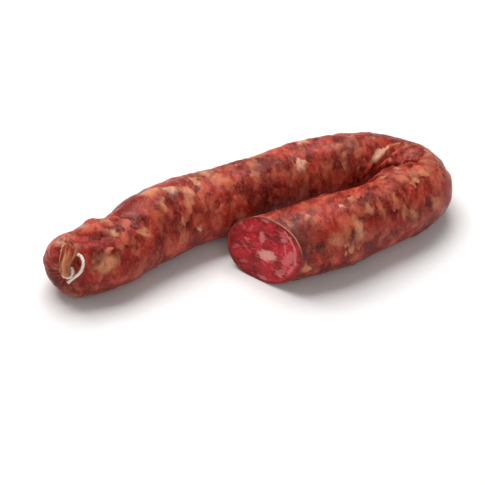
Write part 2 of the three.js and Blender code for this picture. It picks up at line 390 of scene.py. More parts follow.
def addNode(tree, kind, sockets, output=0, **settings):
    # adds one node: settings are its properties, and each socket takes a value or another's output
    node = tree.nodes.new(kind)
    for name, value in settings.items():
        setattr(node, name, value)
    for socket, value in sockets.items():
        if isinstance(value, bpy.types.NodeSocket):
            tree.links.new(value, node.inputs[socket])
        else:
            node.inputs[socket].default_value = value
    return node.outputs[output]


def newMaterial(name, sockets):
    # what is the same all over goes on the shader's own sockets
    material = bpy.data.materials.new(name)
    material.use_nodes = True
    shader = material.node_tree.nodes["Principled BSDF"]
    for socket, value in sockets.items():
        shader.inputs[socket].default_value = value
    return material


def readLook(tree, look):
    # everything a look lists, by name, each made from the ones above it
    read = {name: linear(value) for name, value in look["colours"].items()}
    flat = addNode(tree, "ShaderNodeAttribute", {}, "Vector", attribute_name="unrolled")
    for name in look["attributes"]:
        read[name] = addNode(tree, "ShaderNodeAttribute", {}, "Fac", attribute_name=name)
    # size is one feature in mm, along and round
    for name, (size, detail, rough) in look["noises"].items():
        scaled = addNode(tree, "ShaderNodeMapping",
                         {"Vector": flat, "Scale": tuple(1 / length for length in size)})
        read[name] = addNode(tree, "ShaderNodeTexNoise", {"Vector": scaled, "Scale": 1.0,
                                                          "Detail": detail, "Roughness": rough})
    for name, (total, parts) in look["sums"].items():
        total = read.get(total, 0.0)
        for part, amount in parts.items():
            total = addNode(tree, "ShaderNodeMath", {0: read[part], 1: amount, 2: total},
                            operation="MULTIPLY_ADD")
        read[name] = total
    # a soft step between two values of what is read, from one amount to another
    for name, (source, start, stop, least, most) in look["steps"].items():
        read[name] = addNode(tree, "ShaderNodeMapRange",
                             {"Value": read[source], "From Min": start, "From Max": stop,
                              "To Min": least, "To Max": most}, interpolation_type="SMOOTHSTEP")
    for name, (first, *others) in look["products"].items():
        read[name] = read[first]
        for other in others:
            read[name] = addNode(tree, "ShaderNodeMath", {0: read[name], 1: read[other]},
                                 operation="MULTIPLY")
    # each layer is a share and a colour, laid over what is under it
    for name, (under, layers) in look["layers"].items():
        read[name] = read[under]
        for share, colour in layers:
            read[name] = addNode(tree, "ShaderNodeMix",
                                 {0: read[share], 6: read[name], 7: read[colour]}, 2,
                                 data_type="RGBA")
    return read


def skinMaterial(name, look):
    # the look's last layers, with a fine bump, and a roughness that follows one of the noises
    material = newMaterial(name, look["shader"])
    tree = material.node_tree
    shader = tree.nodes["Principled BSDF"]
    read = readLook(tree, look)
    strength, depth = look["bump"]
    bump = addNode(tree, "ShaderNodeBump", {"Strength": strength, "Distance": depth,
                                            "Height": read["height"]})
    tree.links.new(read["skin"], shader.inputs["Base Color"])
    tree.links.new(bump, shader.inputs["Normal"])
    if "roughness" in look:
        noise, least, most = look["roughness"]
        roughness = addNode(tree, "ShaderNodeMapRange",
                            {"Value": read[noise], "From Min": 0.3, "From Max": 0.7,
                             "To Min": least, "To Max": most})
        tree.links.new(roughness, shader.inputs["Roughness"])
    return material


# natural gut dried tight over coarse pork: satin, a little waxy, lean brick red and fat tan
# through it
gutLook = {
    "shader": {
        "IOR": 1.42,
        "Specular IOR Level": 0.24,
        "Subsurface Weight": 0.12,
        "Subsurface Radius": (1.0, 0.4, 0.25),
        "Subsurface Scale": 0.001,
    },
    "colours": {
        "leanDark": "#5c0d07", "leanMid": "#9a251b", "leanBright": "#cb4a38",
        "cloudRed": "#d86b52", "fatOrange": "#cf6645", "fatTan": "#dc946a", "fatPale": "#f3c3a2",
        # darkBrown colours the real dark spots, and also painted shade in the grooves and on the
        # lower side
        "dryBrown": "#6c3b31", "darkBrown": "#36120d", "crimson": "#a81510",
        "gutTan": "#db9468", "gutBrown": "#8f3220", "gutPale": "#e2af90",
    },
    "attributes": ("fat", "fatTone", "fatStrength", "dry", "hollow", "spotsAndShade", "tailGut", "edge"),
    "noises": {
        "broad": ((24, 20, 20), 2.0, 0.55),
        "blotch": ((8, 11, 11), 3.0, 0.5),
        "clouds": ((5.5, 8.5, 8.5), 3.5, 0.52),
        "streaks": ((2.0, 5.5, 5.5), 3.5, 0.55),
        "fine": ((0.8, 1.1, 1.1), 3.0, 0.6),
        # the grain of the painted glints
        "glintGrain": ((1.1, 1.3, 1.3), 3.0, 0.6),
    },
    "sums": {
        "raggedFat": ("fat", {"streaks": 1.0, "fine": 0.35, "clouds": 0.9}),
        "height": ("", {"fine": 0.45, "streaks": 0.55}),
    },
    "steps": {
        "mid": ("blotch", 0.36, 0.56, 0, 1),
        "bright": ("streaks", 0.44, 0.7, 0, 0.6),
        "shade": ("broad", 0.44, 0.62, 0, 0.65),
        "cloudy": ("clouds", 0.44, 0.74, 0, 0.68),
        # the noises' middles, half of 1 + 0.35 + 0.9, on top of -0.5 and 0.85
        "fatEdge": ("raggedFat", 0.625, 1.975, 0, 1),
        "unveined": ("streaks", 0.5, 0.7, 1, 0.65),
        "tan": ("fatTone", 0.1, 0.5, 0, 1),
        "pale": ("fatTone", 0.6, 0.95, 0, 1),
        "fatStreaks": ("streaks", 0.48, 0.72, 0, 0.25),
        "pores": ("fine", 0.42, 0.75, 0, 0.24),
        # painted glints: fine tan spots standing in for specular highlights
        "paintedGlints": ("glintGrain", 0.5, 0.75, 0, 0.2),
        "patchy": ("streaks", 0.4, 0.62, 0.45, 1),
        "tailStreaks": ("streaks", 0.4, 0.62, 0, 1),
    },
    "products": {
        "fatShows": ("fatEdge", "unveined", "fatStrength"),
        "patchyDry": ("dry", "patchy"),
        "patchyHollow": ("hollow", "patchy"),
    },
    "layers": {
        "lean": ("leanDark", [("mid", "leanMid"), ("bright", "leanBright"),
                              ("shade", "leanDark"), ("cloudy", "cloudRed")]),
        "fatHue": ("fatOrange", [("tan", "fatTan"), ("pale", "fatPale"),
                                 ("fatStreaks", "fatOrange")]),
        "tailHue": ("gutTan", [("tailStreaks", "gutBrown")]),
        "skin": ("lean", [("fatShows", "fatHue"), ("pores", "leanDark"), ("paintedGlints", "fatTan"),
                          ("tailGut", "tailHue"), ("patchyDry", "dryBrown"),
                          ("patchyHollow", "crimson"), ("spotsAndShade", "darkBrown"),
                          ("edge", "gutPale")]),
    },
    "roughness": ("streaks", 0.28, 0.52),
    "bump": (0.8, 0.0006),
}

# cured pork cut with a knife: moist crimson lean with pinkish fat, nearly smooth
meatLook = {
    "shader": {
        "IOR": 1.4,
        "Specular IOR Level": 0.3,
        "Subsurface Weight": 0.2,
        "Subsurface Radius": (1.0, 0.3, 0.25),
        "Subsurface Scale": 0.0012,
    },
    "colours": {
        "leanDark": "#8a0b12", "leanMid": "#ca2430", "leanBright": "#e4565a",
        "fatPink": "#ea7a7a", "fatPale": "#f5ada0", "rimRed": "#7c1011",
    },
    "attributes": ("fat", "fatTone", "fatStrength", "rim"),
    "noises": {
        "blotch": ((5, 6, 6), 3.0, 0.55),
        "fibres": ((1.6, 2.4, 1.2), 5.0, 0.65),
        "fine": ((0.6, 0.6, 0.6), 4.0, 0.65),
    },
    "sums": {
        "raggedFat": ("fat", {"fibres": 1.5, "fine": 0.6}),
        "height": ("", {"fine": 0.5, "fibres": 0.5}),
    },
    "steps": {
        "mid": ("blotch", 0.36, 0.6, 0, 1),
        "bright": ("fibres", 0.46, 0.74, 0, 1),
        # half of 1.5 + 0.6 on top of -0.1 and 0.45
        "fatEdge": ("raggedFat", 0.95, 1.5, 0, 1),
        "pale": ("fatTone", 0.3, 0.9, 0, 1),
        "pores": ("fine", 0.52, 0.75, 0, 0.25),
    },
    "products": {"fatShows": ("fatEdge", "fatStrength")},
    "layers": {
        "fatHue": ("fatPink", [("pale", "fatPale")]),
        "skin": ("leanDark", [("mid", "leanMid"), ("bright", "leanBright"),
                              ("fatShows", "fatHue"), ("pores", "leanDark"), ("rim", "rimRed")]),
    },
    "roughness": ("fibres", 0.32, 0.5),
    "bump": (0.6, 0.0004),
}

# cotton butcher's string: off-white, dull, stained by fat and paprika where it touched the gut
stringLook = {
    "shader": {"Roughness": 0.75, "Sheen Weight": 0.2},
    "colours": {"clean": "#fff2ea", "stained": "#ebbba0", "brown": "#a9744f"},
    "attributes": (),
    "noises": {"stain": ((5, 3, 3), 3.0, 0.55), "height": ((0.9, 0.2, 0.2), 3.0, 0.55)},
    "sums": {},
    "steps": {"fatty": ("stain", 0.5, 0.75, 0, 1), "between": ("height", 0.4, 0.7, 0, 0.35)},
    "products": {},
    "layers": {"skin": ("clean", [("fatty", "stained"), ("between", "brown")])},
    "bump": (0.6, 0.0002),
}


casing = {
    "rowStep": 0.8,             # mm along the line between rings
    "columns": 160,
    "domeRings": 30,
    "neckRings": 14,
    "foldRings": 9,
    "tailRings": 30,
    "innerRings": 44,
    "neckRadius": 1.6,
    "neckLength": 4.925,
    "foldRadius": 2.9,
    "tailLength": 13.0,
    "tailFoot": 2.7,            # half width where the tail is folded over
    "tailHalfWidth": 4.1,
    "tailHalfThickness": 1.3,
    # height in mm, length of one wave along and round, seed, how many waves are added up
    "lumps": (0.42, (34, 26, 26), 3, 36),
    "knobs": (0.15, (9, 10, 10), 4, 48),
    "wrinkles": (0.08, (2.6, 7, 7), 5, 60),
    "ridges": (0.104, (3.4, 14, 14), 6, 40),
    "ridgeSharpness": 1.3,
    "fatStandsOut": 0.2,        # mm, and so are the next two
    "creases": 0.75,
    "pleats": 0.4,
    "relievedBy": 0.35,         # the relief sits this much lower, so the size is kept
    "peel": 0.5,                # mm at the cut, round this angle, and how far that reaches
    "peelAngle": 38,
    "peelSpread": 34,
    "peelReach": 7,
    "edgeWidth": 0.45,          # mm of pale dried edge, round this angle
    "edgeAngle": 62,
    "edgeSpread": 34,
    "wander": (0.6, 0.25),      # how far the fat's outlines wander, broadly and finely
    "foldRise": 9.5,
    "underShade": 0.32,         # painted shade: the lower side made darker by this share
    "hollowHalfWidth": 2.4,
    # distance, angle, reach along, reach round in degrees, height in mm
    "dents": [
        (284, 55, 4.5, 40, -0.9), (269, 62, 8, 38, 2.2), (296, 50, 8.5, 42, 3.4),
        (296, 144, 5, 18, 0.8), (294, 96, 5, 12, 0.6), (275, 150, 6, 20, 0.5),
        (261, 90, 6, 18, 0.7), (160, 135, 4, 12, -0.5), (3, 20, 4, 50, -0.3),
        (16, 60, 7, 50, 0.3), (45, 60, 6, 60, -0.25),
    ],
    # distance, and how far the skin inside the bend is pressed out there, in mm
    "pressedOut": [(66, 3.8), (70, 3.4), (75, 2.8), (80, 2.5), (85, 2.2), (92, 1.7), (100, 0.8),
                   (107, 0.3), (115, 1.0), (122, 1.7), (130, 2.2), (136, 2.5), (141, 3.1),
                   (145, 3.6)],
    # angle and distance along the big crease of the back leg
    "crease": [(98, 124), (117, 129), (136, 134.6), (153, 139.5), (169, 143.9), (180, 147)],
    # a track of distances and angles, its depth and its half width in mm
    "grooves": [
        ([(149, 186), (143.9, 169.5), (139.5, 153), (134.6, 136), (129, 117), (124, 98), (120, 84)],
         1.6, 1.2),
        ([(118, 165), (112, 140), (103, 118), (93, 104)], 0.8, 1.1),
        ([(112, 168), (104, 146), (95, 126), (84, 112)], 0.7, 1.0),
        ([(106, 170), (97, 150), (86, 132), (76, 120)], 0.6, 1.0),
        ([(134, 168), (146, 130), (150, 112)], 0.35, 1.2),
        ([(313, 78), (306, 86), (300, 98), (295, 108), (291, 117), (286, 126)], 1.7, 2.5),
        ([(286, 60), (283, 78), (281, 97), (282, 112)], 0.7, 2.4),
        ([(310, 76), (303, 86), (297, 98), (292, 108), (288, 118)], 0.5, 0.6),
        ([(284, 108), (279, 124), (273, 141)], 0.5, 1.3),
        ([(250, 84), (253.4, 100), (254.4, 127), (256, 148)], 0.9, 1.6),
        ([(262, 96), (259, 111), (258, 128)], 0.5, 1.2),
    ],
    "hollowTrack": [(308, 90), (302, 101), (297, 110), (292, 119), (288, 126)],
    # distance, angle, reach along, reach round in degrees, strength
    "dryPatches": [(4, 58, 6, 30, 0.85), (9, 84, 5, 22, 0.6), (13, 56, 5, 22, 0.4),
                   (281.6, 97.5, 2.5, 8, 0.6)],
    "darkRedPatches": [(303, 110, 4, 8, 0.6), (12, -20, 6, 12, 0.2), (266, 162, 5, 14, 0.4)],
    "darkSpots": [(158, 95, 2.2, 6, 0.75), (277, 98, 2.6, 6, 0.6), (289, 134, 2.6, 9, 0.5),
                  (308, 168, 8, 18, 0.4), (140, 156, 1.4, 16, 0.5), (126, 134, 1.4, 14, 0.45),
                  (61, 38, 2, 8, 0.3), (92, 45, 2, 8, 0.3)],
}


def casingRelief(flat, along, angle, fatShape):
    # broad lumps, smaller knobs, fine wrinkles running round, fat a little proud, folds and dents
    lift = np.zeros_like(along)
    for name in ("lumps", "knobs", "wrinkles"):
        height, lengths, seed, count = casing[name]
        lift += height * waves(flat, lengths, seed, count)
    # ridges where the last waves are near 0: (1 - sharpness |wave|)^2
    height, lengths, seed, count = casing["ridges"]
    ridged = 1 - casing["ridgeSharpness"] * np.abs(waves(flat, lengths, seed, count))
    lift += height * np.clip(ridged, 0, 1) ** 2
    lift += casing["fatStandsOut"] * smooth(0.0, 0.5, fatShape)
    lift += casing["creases"] * insideFolds(along, angle)
    lift += endPleats(flat, angle) * casing["pleats"]
    lift += np.sum(bells(along, angle, casing["dents"]), axis=0)
    lift += grooves(along, angle)[0]
    return lift


def insideFolds(along, angle):
    # inside the bend the back leg bulges to meet the front one, and creases square to the line die
    # out towards the top
    middle = body["frontLeg"][0] + bendLength / 2
    inside = np.exp(-(turnFrom(angle, 170) / 50) ** 2 - ((along - middle) / 30) ** 2)
    folds = np.cos(2 * np.pi * (along + 1.5 * np.sin(np.radians(angle) * 3)) / 6.5)
    lift = inside * (0.5 * folds - 0.25)
    window = np.exp(-(turnFrom(angle, 180) / 70) ** 4)
    window = window * np.sqrt(pushedTogether(along, angle))
    return lift + np.interp(along, *zip(*casing["pressedOut"])) * window


def pushedTogether(along, angle):
    # the skin inside the bend that's pushed up and together, 0 to 1, ending at the big crease
    crease = np.interp(turnFrom(angle, 0, -90), *zip(*casing["crease"]))
    window = smooth(62, 80, along) * (1 - smooth(crease - 5.5, crease - 0.3, along))
    return window * np.exp(-(turnFrom(angle, 175) / 36) ** 2)


def awayFrom(along, angle, track):
    # distance in mm over the unrolled skin from a broken line, and how far along it that is, 0 to 1
    roundBy = turnFrom(angle, 0, -90) * math.pi / 180 * body["casingRadius"]
    track = np.array(track, float)
    track[:, 1] *= math.pi / 180 * body["casingRadius"]
    best = np.full(along.shape, 1e9)
    where = np.zeros(along.shape)
    for k in range(len(track) - 1):
        start, run = track[k], track[k + 1] - track[k]
        share = ((along - start[0]) * run[0] + (roundBy - start[1]) * run[1]) / (run @ run)
        share = np.clip(share, 0, 1)
        far = np.hypot(along - start[0] - share * run[0], roundBy - start[1] - share * run[1])
        where = np.where(far < best, (k + share) / (len(track) - 1), where)
        best = np.minimum(best, far)
    return best, where


def grooves(along, angle):
    # pressed-in lines with a low bank beside them, fading out at their ends: the height in mm, and
    # how deep in a groove a point is, 0 to 1, for painted shade down in the groove
    lift, shade = np.zeros_like(along), np.zeros_like(along)
    for track, depth, halfWidth in casing["grooves"]:
        far, where = awayFrom(along, angle, track)
        fade = smooth(0, 0.2, where) * (1 - smooth(0.75, 1.0, where))
        bank = (far - 2.2 * halfWidth) / (1.2 * halfWidth)
        lift += depth * fade * (0.35 * np.exp(-bank ** 2) - np.exp(-(far / halfWidth) ** 2))
        # painted shade: darker down in the groove
        deep = min(0.75, 0.5 * depth) * fade * np.exp(-(far / (0.6 * halfWidth)) ** 2)
        shade = np.maximum(shade, deep)
    return lift, shade


def endPleats(flat, angle):
    # puckers running in to the tie, deeper the closer they come
    near = smooth(lineLength - 14, lineLength + 14, flat[..., 0])
    close = smooth(lineLength + 4, lineLength + 18, flat[..., 0])
    turn = np.radians(angle)
    return 0.5 * near * np.cos(turn * 5 + 0.8) + close * 0.6 * np.cos(turn * 15 + 2.0)


def bells(along, angle, places):
    # for each place its height times a bell curve, exp(-(far along / reach)^2 - (turn / reach)^2)
    return [height * np.exp(-((along - distance) / reach) ** 2
                            - (turnFrom(angle, where) / turnReach) ** 2)
            for distance, where, reach, turnReach, height in places]


# the turn that lines the dome's last rings up with the neck's
ringTurn = math.atan2(
    float(across @ turnAbout(upWay, leanAxis, np.array(leanAngle))),
    float(across @ turnAbout(end["side"], leanAxis, np.array(leanAngle))),
)
neckBase = gathered - gather * body["dimpleDepth"]


def tailRings(angles):
    # past the tie: up the neck, round a quarter turn, then along the end as a crumpled flat strip
    turned = angles - ringTurn
    c, s = np.cos(turned), np.sin(turned)
    rings = []
    for share in np.linspace(0.05, 1, casing["neckRings"]):
        pinch = casing["neckRadius"] * (1 - 0.16 * math.sin(math.pi * share))
        ripple = pinch * (1 + 0.07 * np.cos(9 * turned) + 0.05 * np.cos(14 * turned + 1))
        centre = neckBase + gather * casing["neckLength"] * share
        rings.append(centre + (ripple * c)[:, None] * across + (ripple * s)[:, None] * tailWay)
    foldCentre = neckBase + gather * casing["neckLength"] + tailWay * casing["foldRadius"]
    for share in np.linspace(0, 1, casing["foldRings"])[1:]:
        inward = turnAbout(tailWay, across, np.array(share * math.pi / 2))
        wide = casing["neckRadius"] + (casing["tailFoot"] - casing["neckRadius"]) * share
        thick = casing["neckRadius"] + (casing["tailHalfThickness"] - casing["neckRadius"]) * share
        ripple = 1 + 0.1 * np.cos(9 * turned) + 0.05 * np.cos(14 * turned + 1)
        centre = foldCentre - inward * casing["foldRadius"]
        ring = (wide * ripple * c)[:, None] * across + (thick * ripple * s)[:, None] * inward
        rings.append(centre + ring)
    start = foldCentre + gather * casing["foldRadius"] - end["centre"]
    reach = np.linalg.norm(start)
    for share in np.linspace(0, 1, casing["tailRings"])[1:]:
        # the tip is cut off ragged, a little longer at its corners
        ragged = 1 + 0.05 * np.cos(5 * turned + 0.6) * share
        wide = casing["tailHalfWidth"] - casing["tailFoot"]
        wide = casing["tailFoot"] + wide * smooth(0, 0.75, share)
        wide -= 0.8 * smooth(0.8, 1.0, share)
        thick = casing["tailHalfThickness"] * (1 - 0.25 * share)
        thick = thick * (1 - 0.45 * smooth(0.93, 1.0, share))
        fold = np.cos(2 * np.pi * wide * c / 2.3 + 1.2 * math.sin(5 * share))
        fold = 0.45 * fold * (1 - 0.3 * share)
        angle = share * casing["tailLength"] / reach * ragged
        along = turnAbout(np.broadcast_to(start, (len(angles), 3)), across, angle)
        inward = -unit(along)
        sideways = (wide * c + 0.35 * np.sin(7 * share))[:, None] * across
        rings.append(end["centre"] + along + sideways + (thick * s + fold)[:, None] * inward)
    return np.array(rings)


def buildCasing():
    cols = casing["columns"]
    angles = np.arange(cols) * 2 * np.pi / cols
    distances = np.linspace(0, lineLength, round(lineLength / casing["rowStep"]) + 1)
    distances = np.concatenate([[0.0, 0.3], distances[1:]])
    neckDegrees = math.degrees(math.asin(casing["neckRadius"] / end["width"]))
    polar = np.linspace(90, neckDegrees, casing["domeRings"] + 1)[1:]
    outer = np.concatenate([tubeRings(distances, angles, 0.0), domeRings(polar, angles, 0.0)])
    flat = unrolled(distances, polar, angles)
    far, near = casing["wander"]
    wander = np.stack([waves(flat, (5, 6, 6), seed, 36) for seed in (31, 32, 33)], -1) * far
    wander += np.stack([waves(flat, (2.2, 2.6, 2.6), seed, 36) for seed in (34, 35, 36)],
                       -1) * near
    fat, tone, strength = fatFields(flat + wander, scatterFat(casingFat))
    along = flat[..., 0].copy()
    along[:len(distances)] = distances[:, None]
    angle = np.degrees(np.arctan2(flat[..., 2], flat[..., 1]))
    lift = casingRelief(flat, along, angle, fat) - casing["relievedBy"]
    # the relief dies out at the table, at the tie and at the cut
    fromTie = np.linalg.norm(outer - neckBase, axis=-1)
    lift *= (0.15 + 0.85 * smooth(0.0, 2.5, outer[..., 2])) * smooth(0, 5, fromTie - 2)
    lift *= 0.35 + 0.65 * smooth(0, 6, along)
    outer = outer + gridNormals(outer) * lift[..., None]
    outer[..., 2] += casing["foldRise"] * pushedTogether(along, angle)
    outer[..., 2] = restOn(outer[..., 2], 0.0, 0.1)
    # the casing's edge has dried and stands away from the meat at the top right of the cut
    peel = np.exp(-((angle - casing["peelAngle"]) / casing["peelSpread"]) ** 2)
    peel = peel * (1 - smooth(0, casing["peelReach"], along)) * casing["peel"]
    outer += gridNormals(outer) * peel[..., None]
    tail = tailRings(angles)
    innerDistances = np.linspace(lineLength, 0, casing["innerRings"])
    innerPolar = np.linspace(12, 90, 10)[:-1]
    inner = np.concatenate([domeRings(innerPolar, angles, body["wall"]),
                            tubeRings(innerDistances, angles, body["wall"])])
    inner[-1] += gridNormals(outer)[0] * (peel[0] + lift[0])[:, None]
    rings = np.concatenate([inner, outer, tail])
    blankIn, blankOut = np.zeros(inner.shape[:2]), np.zeros(tail.shape[:2])

    def spread(values, inside=0.0, past=0.0):
        return np.concatenate([blankIn + inside, values, blankOut + past])

    # drawn out along the tail, so that its streaks run lengthwise
    tailAlong = lineLength + 20 + 0.12 * np.arange(len(tail))[:, None]
    tailFlat = np.stack(np.broadcast_arrays(tailAlong, 9 * np.cos(angles), 9 * np.sin(angles)), -1)
    allFlat = np.concatenate([inner, flat, tailFlat])
    nearNeck = np.exp(-(np.linalg.norm(outer - neckBase, axis=-1) / 5.0) ** 2)
    edge = 0.02 + 0.85 * np.exp(-((angle - casing["edgeAngle"]) / casing["edgeSpread"]) ** 4)
    edge = edge * (1 - smooth(0.0, casing["edgeWidth"], along))
    edge[1] = 0
    dry, hollow, spotsAndShade = (np.max(bells(along, angle, casing[name]), axis=0)
                         for name in ("dryPatches", "darkRedPatches", "darkSpots"))
    far, where = awayFrom(along, angle, casing["hollowTrack"])
    trench = 0.95 * np.exp(-(far / casing["hollowHalfWidth"]) ** 4)
    hollow = np.maximum(hollow, trench * (1 - smooth(0.75, 1.0, where)))
    # painted shade down in the grooves
    spotsAndShade = np.maximum(spotsAndShade, grooves(along, angle)[1])
    # painted shade: the lower half of the skin darker
    under = casing["underShade"] * smooth(-0.35, 0.6, -np.sin(np.radians(angle)))
    spotsAndShade = np.maximum(spotsAndShade, under)
    tailShare = np.linspace(0, 1, len(tail))[:, None]
    tailDark = smooth(-0.15, 0.4, -np.cos(angles - ringTurn))
    tailDark = tailDark * (1 - 0.6 * smooth(0.8, 1.0, tailShare))
    fields = {
        "fat": spread(fat, -1, -1),
        "fatTone": spread(tone, 0.5, 0.5),
        "fatStrength": spread(strength),
        "dry": spread(dry),
        "hollow": spread(hollow, 0, 0.4 * tailDark),
        # real dark spots together with painted shade in the grooves and on the lower side; on the
        # tail, one side darker
        "spotsAndShade": spread(spotsAndShade, 0, 0.3 * tailDark),
        # the tail's gut covers what is under it by nine tenths
        "tailGut": 0.9 * spread(nearNeck * 0.8, 0, 1),
        "edge": spread(edge),
    }
    fields["edge"][len(inner) - 1] = edge[0]
    attributes = {n: (f, float(f[0, 0]), float(f[-1, 0])) for n, f in fields.items()}
    attributes["unrolled"] = (allFlat, allFlat[0, 0], allFlat[-1, 0])
    third = round(len(outer) / 3)
    n = len(inner)
    half = 0.49
    cells = [(0, n, 0.505, 0.505, 0.22, half), (n, n + third, 0.005, 0.005, half, half),
             (n + third, n + 2 * third, 0.505, 0.005, half, half),
             (n + 2 * third, n + len(outer), 0.005, 0.505, half, half),
             (n + len(outer), len(rings) - 1, 0.745, 0.505, 0.25, half)]
    return skinMesh("gutCasing", rings, attributes, rings[0].mean(0), rings[-1].mean(0), cells)


meat = {
    "inset": 0.4,               # mm in from the outside of the casing, at the cut
    "bodyInset": 0.8,           # and inside
    "columns": 160,
    "faceRings": 70,
    "bodyRings": 60,
    # placed one by one on the cut: side, up, half sizes, tilt, tone, strength
    "placed": [
        (1.8, -2.3, 5.0, 3.6, 20, 0.75, 0.95), (-2.9, 6.1, 4.2, 1.4, 105, 0.4, 0.85),
        (-12.7, -5, 2.6, 1.1, 60, 0.4, 0.6), (-14.5, 9, 1.4, 2.2, 20, 0.6, 0.8),
        (-4.9, 16.2, 3.4, 1.1, 0, 0.4, 0.8), (11.5, 1.6, 6.0, 2.6, 75, 0.3, 0.7),
        (10.0, -7.5, 4.0, 1.8, 60, 0.3, 0.55), (5.5, 12.5, 2.6, 1.6, -30, 0.25, 0.5),
        (3.2, -15.2, 3.0, 1.2, 0, 0.6, 0.7), (-7, -11, 2.4, 1.2, 20, 0.4, 0.6),
        (9.5, -9, 2.6, 1.4, -30, 0.5, 0.7), (6.5, 10, 1.9, 1.3, 30, 0.5, 0.7),
        (-9, 2, 1.6, 1.0, 0, 0.5, 0.5), (13.4, 4.0, 6.5, 0.8, 108, 0.4, 0.75),
        (10.4, 10.4, 5.0, 0.6, 130, 0.5, 0.7), (13.6, -4.0, 4.5, 1.0, 82, 0.3, 0.7),
        (7.4, 13.4, 3.6, 0.5, 140, 0.6, 0.7), (8.6, 5.0, 5.5, 0.6, 112, 0.3, 0.6),
        (-12.0, 13.0, 2.8, 1.0, 40, 0.9, 0.7),
    ],
    "count": 30,
    "seed": 5,
    "relief": 0.12,             # heights in mm
    "fibres": 0.07,
    "sunk": 0.05,
    "roundedOff": 0.25,         # at the casing
    "faceRadius": 17.0,
    "keepClear": 3.0,           # between the placed pieces and the random ones
    "fatSinks": 0.1,
}


def buildMeat():
    cols = meat["columns"]
    angles = np.arange(cols) * 2 * np.pi / cols
    rim = tubeRings(np.array([0.0]), angles, meat["inset"])[0]
    centre = rim.mean(0)
    s0 = sectionAt(0.0)
    offset = rim - centre
    rimFlat = np.stack([np.zeros(cols), offset @ s0["side"][0], offset[:, 2]], -1)
    shares = np.linspace(1, 0.015, meat["faceRings"])[:, None, None]
    face = centre + offset * shares
    faceFlat = rimFlat * shares
    draw = np.random.default_rng(meat["seed"])
    pieces = list(meat["placed"])
    placed = np.array(pieces)
    while len(pieces) < meat["count"]:
        u, v = draw.uniform(-meat["faceRadius"], meat["faceRadius"], 2)
        near = np.hypot(placed[:, 0] - u, placed[:, 1] - v).min()
        if math.hypot(u, v) < meat["faceRadius"] - 0.2 and near > meat["keepClear"]:
            size = draw.uniform(0.35, 1.3)
            pieces.append((u, v, size * draw.uniform(1.0, 2.4), size, draw.uniform(0, 180),
                           draw.uniform(0, 0.6), draw.uniform(0.15, 0.45)))
    fat, tone, strength = fatFields(faceFlat, pieces, flat=True)
    facing = unit(np.cross(offset[cols // 4], offset[0]))
    facing = facing * (-1 if facing @ s0["along"][0] > 0 else 1)
    lift = meat["relief"] * waves(faceFlat, (9, 9, 9), 21, 36)
    lift = lift + meat["fibres"] * waves(faceFlat, (1.8, 1.8, 1.8), 22, 48)
    lift = lift - meat["fatSinks"] * smooth(0, 0.4, fat)
    lift = lift * smooth(0, 1.2, (1 - shares[..., 0]) * meat["faceRadius"])
    lift = lift - meat["roundedOff"] * smooth(0.86, 1, shares[..., 0])
    face = face + facing * (lift - meat["sunk"])[..., None]
    distances = np.linspace(0, lineLength, meat["bodyRings"])[1:]
    polar = np.linspace(90, 8, 12)[1:]
    # inside, the meat is a plain filled tube a little in from the casing
    inset = meat["bodyInset"]
    bodyRings = np.concatenate([tubeRings(distances, angles, inset),
                                domeRings(polar, angles, inset)])
    rings = np.concatenate([face[::-1], bodyRings])
    behind = np.zeros(bodyRings.shape[:2])
    # darker towards the lower left of the cut, and close to the casing
    low = 0.6 * np.exp(-((faceFlat[..., 1] + 3) / 10) ** 2 - ((faceFlat[..., 2] + 13) / 5.5) ** 2)
    low = np.maximum(low, 0.5 * smooth(-9, -16, faceFlat[..., 1]))
    rimShade = np.maximum(0.8 * smooth(0.93, 1.0, shares[..., 0]) * np.ones(cols), low)
    rimShade = np.concatenate([rimShade[::-1], behind + 1])
    attributes = {}
    for name, front, back in (("fat", fat, -1), ("fatTone", tone, 0.5),
                              ("fatStrength", strength, 0)):
        values = np.concatenate([front[::-1], behind + back])
        attributes[name] = (values, float(values[0].mean()), back)
    attributes["rim"] = (rimShade, 0, 1)
    allFlat = np.concatenate([faceFlat[::-1], bodyRings])
    attributes["unrolled"] = (allFlat, np.zeros(3), allFlat[-1, 0])
    n = meat["faceRings"]
    cells = [(0, n, 0.005, 0.005, 0.99, 0.7), (n, len(rings) - 1, 0.005, 0.72, 0.99, 0.27)]
    return skinMesh("curedMeat", rings, attributes, face[-1].mean(0), rings[-1].mean(0), cells)


cord = {
    "radius": 0.7,
    "clearance": 0.25,
    "windingGap": 0.1,          # between the neck and the turns
    "foot": 0.6,                # the lowest turn's height above the end
    "flare": 0.18,              # the ends fray by this share of the radius, over this many mm
    "flareReach": 0.8,
    "turns": 1.75,
    "pitch": 1.42,
    "twistPitch": 4.2,          # mm for one strand to go once round
    "strandDepth": 0.13,
    "points": 520,
    "sides": 24,
    # the free ends, from the tie: mm across, mm up, mm off the skin
    "leftEnd": [(3.7, 12, 0.5), (3.3, 8.5, 0.6), (3.1, 5, 0.4)],
    "rightEnd": [(-0.3, 5.4, 0.2), (-0.8, 8.2, 0.3), (-2.4, 10.6, 0.4), (-5.4, 11.2, 1.0),
                 (-7.9, 8.6, 2.0), (-7.8, 4.4, 2.4), (-6.3, 1.2, 2), (-3.2, -2.3, 0.8),
                 (-0.5, -5.4, 0.1)],
}


def lengthsAlong(points):
    # the running sum of the distances between neighbouring points, from 0
    return np.concatenate([[0], np.cumsum(np.linalg.norm(np.diff(points, axis=0), axis=1))])


def overEnd(acrossBy, upBy, lift=0.0):
    # a point on the rounded end, so many mm across and up from the tie, the string on the skin
    away = math.hypot(acrossBy, upBy) / body["dimpleSpread"]
    reach = max(body["domeLength"], end["width"]) - body["dimpleDepth"] * math.exp(-away ** 2)
    reach += cord["radius"] + cord["clearance"] + lift
    way = turnAbout(gather, across, np.array(upBy / reach))
    return way * math.sqrt(reach ** 2 - acrossBy ** 2) + across * acrossBy + end["centre"]


